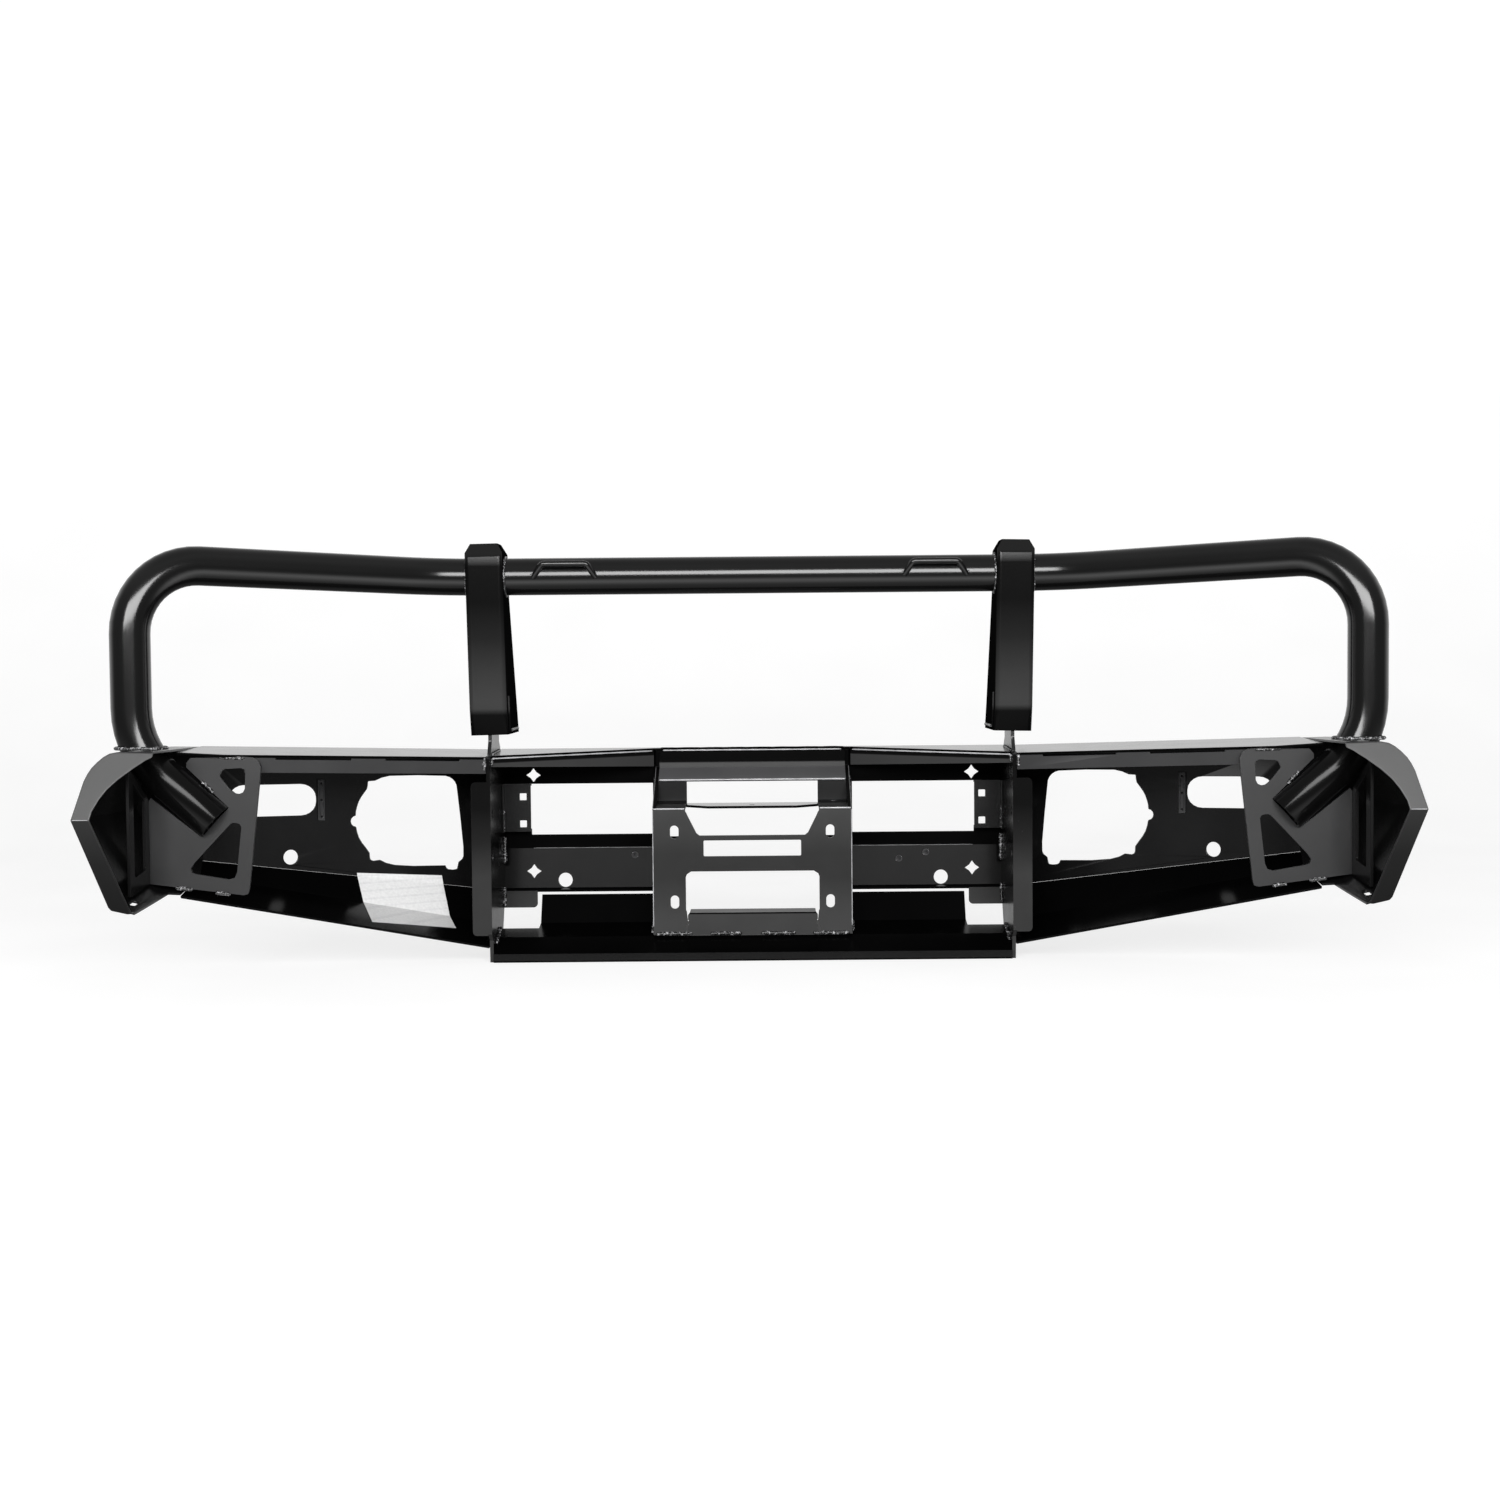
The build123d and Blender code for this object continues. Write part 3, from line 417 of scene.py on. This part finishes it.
def bead(name, points, radius, pitch=2.4, sides=8, material=WELD):
    """A rippled bead along a polyline; points, radius and ripple pitch in millimetres."""
    path = resample([from_drawing(*point) for point in points])
    last = len(path) - 1
    vertices = []
    distance = 0.0
    for i, centre in enumerate(path):
        along = (path[min(i + 1, last)] - path[max(i - 1, 0)]).normalized()
        if i:
            distance += (centre - path[i - 1]).length
        helper = Vector((0, 0, 1)) if abs(along.z) < 0.9 else Vector((1, 0, 0))
        across = along.cross(helper).normalized()
        outward = across.cross(along).normalized()
        phase = (distance * 1000.0 / pitch) % 1.0
        ring_radius = radius / 1000.0 * (RIPPLE_BASE + RIPPLE_HEIGHT * math.sin(math.pi * phase)
                                         + RIPPLE_NOISE * mnoise.noise(centre * NOISE_SCALE))
        # Distance to the nearer end, in radii
        to_end = min(i, last - i) * BEAD_STEP / (radius / 1000.0)
        if to_end < 1.0:
            ring_radius *= math.sqrt(max(END_FLOOR, 1 - (1 - to_end) ** 2))
        for k in range(sides):
            angle = 2 * math.pi * k / sides
            spoke = across * math.cos(angle) + outward * math.sin(angle)
            vertices.append(tuple(centre + spoke * ring_radius))
    faces = []
    for i in range(last):
        near, far = i * sides, (i + 1) * sides
        for k in range(sides):
            k2 = (k + 1) % sides
            faces.append((near + k, near + k2, far + k2, far + k))
    faces.append(tuple(range(sides))[::-1])
    faces.append(tuple(last * sides + k for k in range(sides)))
    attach(new_object(name, vertices, faces, material, update=True), "root")


def bead_pair(name, points, radius, **options):
    bead(name + "_left", points, radius, **options)
    bead(name + "_right", [(-x, y, z) for x, y, z in points], radius, **options)


def ring_pair(name, centre, radii, u, v, radius, steps=48, **options):
    """Beads round a tube: centre, the two radii and the two directions of the ring's plane."""
    points = []
    for i in range(steps + 1):
        angle = math.radians(360.0 * i / steps)
        reach_u, reach_v = radii[0] * math.cos(angle), radii[1] * math.sin(angle)
        points.append(tuple(centre[k] + reach_u * u[k] + reach_v * v[k] for k in range(3)))
    bead_pair(name, points, radius, **options)


# ------------------------------------------------------------------ welds
# Start and end x of the four beads at the cradle foot
CRADLE_FOOT = ((158, 99), (70, 18), (-13, -70), (-98, -158))
for i, (start, end) in enumerate(CRADLE_FOOT):
    bead("weld_cradle_foot_%d" % i, [(start, 24.5, 40.0), (end, 24.5, 40.0)], 3.4, pitch=3.0)

# Mirrored straight welds: name, start, end, radius
WELDS = (
    ("weld_rib_web_a", (417.0, -73, 240), (417.0, -73, 200), 3.0),
    ("weld_rib_web_b", (416.8, -84, 192), (416.8, -86, 146), 3.2),
    ("weld_rib_web_c", (416.8, -80, 108), (416.8, -72, 76), 2.8),
    ("weld_rib_tray", (417.0, -20, 47), (417.0, 40, 29), 3.0),
    ("weld_side_plate", (163.8, -30, 52), (163.8, 16, 42), 3.2),
    ("weld_side_web", (163.8, -107, 290), (163.8, -107, 262), 2.6),
    ("weld_side_web_low", (163.8, -106, 180), (163.8, -101, 120), 2.6),
    ("weld_ear_a", (109.6, 21, 238), (107.2, 21, 228), 2.8),
    ("weld_ear_b", (104, 21, 209), (92, 21, 203), 2.8),
    ("weld_gusset_foot_a", (868, 279.6, 149.6), (842, 279.6, 146.2), 3.2),
    ("weld_gusset_foot_b", (808, 279.6, 141.8), (785, 279.6, 139.0), 3.2),
    ("weld_gusset_tube_a", (826, 279.0, 311), (808, 279.0, 293), 2.8),
    ("weld_gusset_tube_b", (893, 279.0, 290), (878, 279.0, 275), 2.8),
    ("weld_gusset_lip", (760, 279.0, 344), (800, 279.0, 345.5), 2.4),
    ("weld_rib_lip", (427.2, 78.6, 332), (427.6, 78.8, 312), 3.2),
    ("weld_tab_foot", (420.6, -62, 338.6), (420.6, 34, 336.0), 2.4),
    ("weld_lip_end", (417.6, 58, 331), (417.6, 58, 318), 2.6),
)
for name, start, end, radius in WELDS:
    bead_pair(name, [start, end], radius)

TUBE_RING = 31.4          # radius of the beads round the main tube
ring_pair("weld_hoop_wing", centre=(916.4, 275.0, 360.6), radii=(37.5, TUBE_RING),
          u=(1, 0, 0), v=(0, 1, 0), radius=2.8)
for side, x in (("in", 398.2), ("out", 460.6)):
    ring_pair("weld_upright_tube_" + side, centre=(x, 0.0, 624.0),
              radii=(TUBE_RING, TUBE_RING), u=(0, 1, 0), v=(0, 0, 1), radius=2.4)
for i, x in enumerate((351.0, 250.0)):
    ring_pair("weld_tie_%d" % i, centre=(x, 27.8, 621.5), radii=(6.0, 6.0),
              u=(1, 0, 0), v=(0, 0.2, 0.98), radius=1.7, steps=24, pitch=1.8)
bead_pair("weld_foot_doubler", [(391.4, -80, 375), (391.4, 14, 375)], 2.4)


# ------------------------------------------------------------------ painted edge highlights
def top_rear_edge(x, y):
    """A point 4.4 mm under the sloping top sheet."""
    return (x, y, 338.3 - TOP_SLOPE * (y + 95.0) - 4.4)


# Thin beads along folded or welded edges, their light grey a painted highlight line, and one
# dark bead painted as the shade in the middle top fold: name, how laid, points, radius,
# material
EDGE_HIGHLIGHTS = (
    ("seam_mount_side", bead_pair, [(162.0, 24.0, 242), (162.0, 24.0, 52)], 0.8, EDGE_HIGHLIGHT),
    ("seam_mount_top", bead_pair, [(161.5, 23.6, 244.0), (110, 23.6, 244.0)], 1.4, EDGE_HIGHLIGHT),
    ("seam_ear_fold", bead_pair, [(155, -57.4, 249.2), (110, -57.4, 249.2)], 1.4, EDGE_HIGHLIGHT),
    ("seam_side_plate", bead_pair,
     [(162.0, -97.0, 306.6), (162.0, -60.0, 284.2), (162.0, 17.0, 245.0)], 0.8, EDGE_HIGHLIGHT_DIM),
    ("seam_rail_low", bead, [(-155, -54.6, 286.6), (155, -54.6, 286.6)], 1.7, EDGE_HIGHLIGHT),
    ("seam_top_mid", bead, [(-150, -94.6, 334.6), (150, -94.6, 334.6)], 1.3, EDGE_HIGHLIGHT),
    # Dark bead painted as the shade line in the middle top fold
    ("fold_top_mid", bead, [(-154, -95.6, 338.0), (154, -95.6, 338.0)], 1.8,
     materials["coat_skins"]),
    ("seam_top_rear", bead_pair, [top_rear_edge(168, -92.6), top_rear_edge(417, 59.6)], 1.3,
     EDGE_HIGHLIGHT),
    ("seam_web_fold", bead_pair, [(168, -109.9, 170.2), (372, -109.9, 170.2)], 0.8, EDGE_HIGHLIGHT_DIM),
    ("seam_rim_fold", bead_pair, [(946.5, 437.0, 264.2), (969.5, 437.0, 264.2)], 0.7, EDGE_HIGHLIGHT),
)
for name, lay, points, radius, material in EDGE_HIGHLIGHTS:
    lay(name, points, radius, pitch=40.0, sides=6, material=material)

# ------------------------------------------------------------------ stage
SWEEP_REAR = 7.0          # y of the floor's edge on the vehicle side
SWEEP_BEND = -2.0         # y where the floor starts to curve up
SWEEP_RADIUS = 1.6
SWEEP_STEPS = 16
SWEEP_TOP = 6.0
SWEEP_HALF_WIDTH = 9.0


def pale_sweep():
    material, tree, shader = new_material("pale_sweep")
    mottle = noise(tree, object_coords(tree), scale=3.0)
    set_inputs(tree, shader, {
        "Base Color": colour_ramp(tree, mottle, [(0.3, grey(0.34)), (0.7, grey(0.37))]),
        "Roughness": 0.95,
        "Specular IOR Level": 0.0,
        "Emission Color": grey(1.0),
        "Emission Strength": 0.72})
    return material


def add_sweep():
    """Floor that curves up into a wall on the -Y side."""
    profile = [(SWEEP_REAR, 0.0), (SWEEP_BEND, 0.0)]
    for i in range(1, SWEEP_STEPS + 1):
        angle = math.radians(90.0 * i / SWEEP_STEPS)
        profile.append((SWEEP_BEND - SWEEP_RADIUS * math.sin(angle),
                        SWEEP_RADIUS - SWEEP_RADIUS * math.cos(angle)))
    profile.append((SWEEP_BEND - SWEEP_RADIUS, SWEEP_TOP))
    vertices = [(x, y, z) for y, z in profile for x in (-SWEEP_HALF_WIDTH, SWEEP_HALF_WIDTH)]
    faces = [(2 * i, 2 * i + 1, 2 * i + 3, 2 * i + 2) for i in range(len(profile) - 1)]
    sweep = new_object("studio_sweep", vertices, faces, pale_sweep())
    # It only receives light; the world stands for it in reflections
    sweep.visible_diffuse = False
    sweep.visible_glossy = False
    sweep.visible_transmission = False
    sweep.visible_shadow = False


add_sweep()

# ------------------------------------------------------------------ key light
KEY_DISTANCE = 5.0
KEY_BASE = 0.6            # height from which the bank's two elevations are taken
KEY_LOW = math.tan(math.radians(6.0))
KEY_HIGH = math.tan(math.radians(26.0))
KEY_WIDTH = 5.4
KEY_RADIANCE = 13.0


def add_key_bank():
    """Upright rectangular bank on the vehicle side, facing -Y."""
    height = KEY_DISTANCE * (KEY_HIGH - KEY_LOW)
    light = bpy.data.lights.new("key_bank", "AREA")
    light.shape = "RECTANGLE"
    light.size = KEY_WIDTH
    light.size_y = height
    light.energy = KEY_RADIANCE * math.pi * KEY_WIDTH * height
    bank = bpy.data.objects.new("key_bank", light)
    bpy.context.scene.collection.objects.link(bank)
    bank.location = (0, KEY_DISTANCE, KEY_BASE + KEY_DISTANCE * (KEY_LOW + KEY_HIGH) / 2)
    facing = Vector((0, -KEY_DISTANCE, 0))
    bank.rotation_euler = facing.to_track_quat("-Z", "Y").to_euler()


add_key_bank()

# ------------------------------------------------------------------ world
# (direction Z, half of the wanted radiance); the background strength doubles it
WORLD_STRENGTH = 2.0
SWEEP_SIDE = [(-1, 0.05), (-0.55, 0.05), (-0.2, 0.18), (-0.05, 0.46),
              (0.35, 0.48), (0.7, 0.22), (1, 0.14)]
VEHICLE_SIDE = [(-1, 0.12), (-0.86, 0.22), (-0.6, 0.85), (-0.5, 0.70), (-0.3, 0.12),
                (-0.1, 0.06), (0.05, 0.08), (0.5, 0.11), (0.85, 0.18), (1, 0.14)]
# (direction Y, share of the vehicle side)
SIDE_BLEND = [(-1, 0), (-0.35, 0), (0.1, 1), (1, 1)]


def build_world():
    """Graded surroundings for the lighting, plain white for the camera."""
    world = bpy.data.worlds.new("studio")
    bpy.context.scene.world = world
    world.use_nodes = True
    tree = world.node_tree
    tree.nodes.clear()
    output = add_node(tree, "OutputWorld")
    coords = add_node(tree, "TexCoord")
    direction = add_node(tree, "SeparateXYZ", {"Vector": coords.outputs["Generated"]})
    sweep_side = value_ramp(tree, direction.outputs["Z"], SWEEP_SIDE)
    vehicle_side = value_ramp(tree, direction.outputs["Z"], VEHICLE_SIDE)
    blend = value_ramp(tree, direction.outputs["Y"], SIDE_BLEND)
    radiance = mix_colour(tree, blend, sweep_side, vehicle_side).outputs[MIX_RESULT]
    studio = add_node(tree, "Background", {"Strength": WORLD_STRENGTH, "Color": radiance})
    white = add_node(tree, "Background", {"Color": grey(1.0), "Strength": 1.0})
    rays = add_node(tree, "LightPath")
    shown = add_node(tree, "MixShader", {
        "Fac": rays.outputs["Is Camera Ray"],
        1: studio.outputs["Background"],
        2: white.outputs["Background"]})
    tree.links.new(shown.outputs["Shader"], output.inputs["Surface"])


build_world()

# ------------------------------------------------------------------ camera
CAMERA_PLACE = (-0.0295, 3.4085 + DRAWING_Y, 0.485)
CAMERA_PITCH = 0.043180056          # radians, looking down
CAMERA_ROLL = 0.0085                # radians
CAMERA_SHIFT_X = -0.013066667       # share of the sensor width


def add_camera():
    """Camera on the vehicle side, looking forward along -Y."""
    lens = bpy.data.cameras.new("camera")
    camera = bpy.data.objects.new("camera", lens)
    bpy.context.scene.collection.objects.link(camera)
    lens.sensor_width = 36.0
    lens.lens = 50.0
    lens.shift_x = CAMERA_SHIFT_X
    forward = Vector((0, -math.cos(CAMERA_PITCH), -math.sin(CAMERA_PITCH)))
    level = Vector((-1, 0, 0))
    upright = level.cross(forward)
    camera_x = level * math.cos(CAMERA_ROLL) - upright * math.sin(CAMERA_ROLL)
    camera_y = level * math.sin(CAMERA_ROLL) + upright * math.cos(CAMERA_ROLL)
    pose = Matrix((camera_x, camera_y, -forward)).transposed().to_4x4()
    pose.translation = Vector(CAMERA_PLACE)
    camera.matrix_world = pose
    bpy.context.scene.camera = camera


add_camera()

view = bpy.context.scene.view_settings
view.view_transform = "Standard"
view.look = "None"
view.exposure = 0.0
